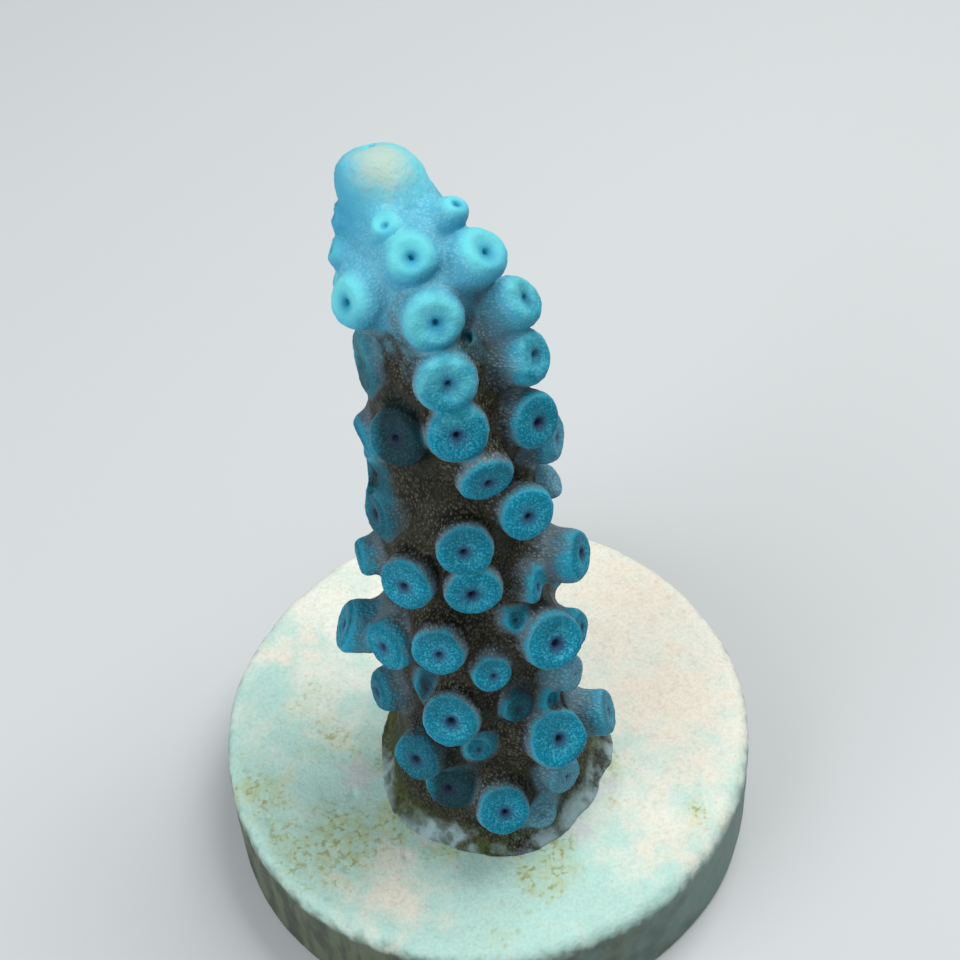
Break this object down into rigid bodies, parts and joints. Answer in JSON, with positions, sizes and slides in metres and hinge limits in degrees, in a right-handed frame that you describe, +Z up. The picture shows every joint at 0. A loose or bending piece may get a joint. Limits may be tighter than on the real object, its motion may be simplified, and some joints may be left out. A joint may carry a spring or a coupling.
{
  "type": "acropora coral fragment",
  "caption": "Finger-shaped coral branch with a rounded tip and tube-shaped corallites all round, grown by its foot on a thick round ceramic disc.",
  "frame": {"origin": "middle of the disc's underside", "axes": "+Z up; -Y is the front, the side the picture was taken from; the tip leans towards +Y"},
  "size_m": [0.03, 0.03, 0.0439],
  "materials": {
    "coral": "matte, finely granular",
    "ceramic": "matte, worn, patchy with algae"
  },
  "bodies": {
    "root": {"coral_branch": "coral", "frag_disc": "ceramic"}
  },
  "joints": []
}
